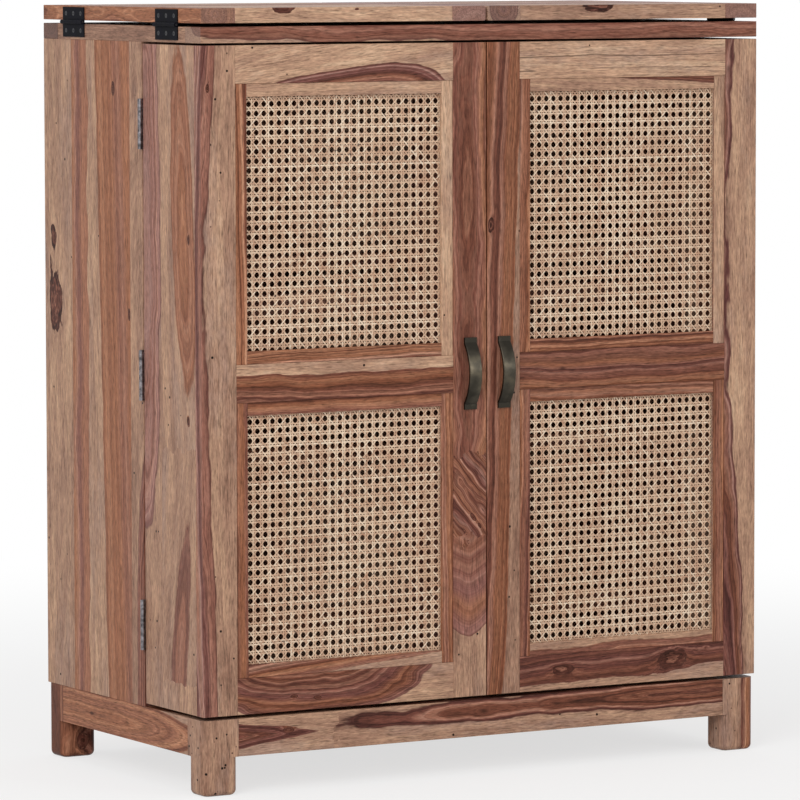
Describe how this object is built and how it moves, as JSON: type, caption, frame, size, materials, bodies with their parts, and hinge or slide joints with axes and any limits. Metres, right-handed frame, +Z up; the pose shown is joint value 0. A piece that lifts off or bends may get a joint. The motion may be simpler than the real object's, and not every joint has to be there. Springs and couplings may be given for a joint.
{
  "type": "bar cabinet",
  "caption": "Wooden bar cabinet on legs with deep cane-fronted box doors, a fold-out top, bow handles and inside shelves.",
  "frame": {"origin": "on the floor, under the centre of the object's box", "axes": "+Z up, -Y towards the front with the handles, +X to the right as seen from the front"},
  "size_m": [0.9138, 0.493, 1.075],
  "materials": {
    "sheesham": "satin lacquer over grain",
    "plywood": "satin veneer",
    "cane": "natural woven cane",
    "antique_brass": "dark antique",
    "steel": "zinc plated",
    "black_steel": "black enamel",
    "catch_plastic": "moulded",
    "rubber": "matt"
  },
  "bodies": {
    "cabinet": {"back_panel": "plywood", "bar_top_frame": "sheesham", "bar_top_panel": "sheesham", "base_rail_back": "sheesham", "base_rail_front": "sheesham", "base_rail_left": "sheesham", "base_rail_right": "sheesham", "cabinet_screws": "steel", "door_catches": "catch_plastic", "door_hinge_body_plates": "steel", "floor_panel": "sheesham", "glass_rails": "sheesham", "hinge_pins": "steel", "inner_shelves": "sheesham", "leaf_hinge_top_plates": "black_steel", "leaf_rest_pads": "rubber", "leg_back_left": "sheesham", "leg_back_right": "sheesham", "leg_front_left": "sheesham", "leg_front_right": "sheesham", "side_panel_left": "sheesham", "side_panel_right": "sheesham"},
    "left_door": {"left_door_beads": "sheesham", "left_door_bottle_rails": "sheesham", "left_door_bottom_rail": "sheesham", "left_door_box_boards": "sheesham", "left_door_cane": "cane", "left_door_handle": "antique_brass", "left_door_hinge_plates": "steel", "left_door_hinge_side": "sheesham", "left_door_hinge_stile": "sheesham", "left_door_meeting_side": "sheesham", "left_door_meeting_stile": "sheesham", "left_door_middle_rail": "sheesham", "left_door_screws": "steel", "left_door_strike": "steel", "left_door_top_rail": "sheesham"},
    "right_door": {"right_door_beads": "sheesham", "right_door_bottle_rails": "sheesham", "right_door_bottom_rail": "sheesham", "right_door_box_boards": "sheesham", "right_door_cane": "cane", "right_door_handle": "antique_brass", "right_door_hinge_plates": "steel", "right_door_hinge_side": "sheesham", "right_door_hinge_stile": "sheesham", "right_door_meeting_side": "sheesham", "right_door_meeting_stile": "sheesham", "right_door_middle_rail": "sheesham", "right_door_screws": "steel", "right_door_strike": "steel", "right_door_top_rail": "sheesham"},
    "left_leaf": {"left_leaf_frame": "sheesham", "left_leaf_hinge_plates": "black_steel", "left_leaf_panel": "sheesham", "left_leaf_screws": "black_steel"},
    "right_leaf": {"right_leaf_frame": "sheesham", "right_leaf_hinge_plates": "black_steel", "right_leaf_panel": "sheesham", "right_leaf_screws": "black_steel"}
  },
  "joints": [
    {"name": "left_door_hinge", "type": "hinge", "parent": "cabinet", "child": "left_door", "pos_m": [-0.4536, -0.0569, 0.56725], "axis": [0, 0, -1], "range_deg": [0, 180]},
    {"name": "right_door_hinge", "type": "hinge", "parent": "cabinet", "child": "right_door", "pos_m": [0.4536, -0.0569, 0.56725], "axis": [0, 0, 1], "range_deg": [0, 180]},
    {"name": "left_leaf_hinge", "type": "hinge", "parent": "cabinet", "child": "left_leaf", "pos_m": [-0.4533, 0.009, 1.052], "axis": [0, -1, 0], "range_deg": [0, 180]},
    {"name": "right_leaf_hinge", "type": "hinge", "parent": "cabinet", "child": "right_leaf", "pos_m": [0.4533, 0.009, 1.052], "axis": [0, 1, 0], "range_deg": [0, 180]}
  ]
}
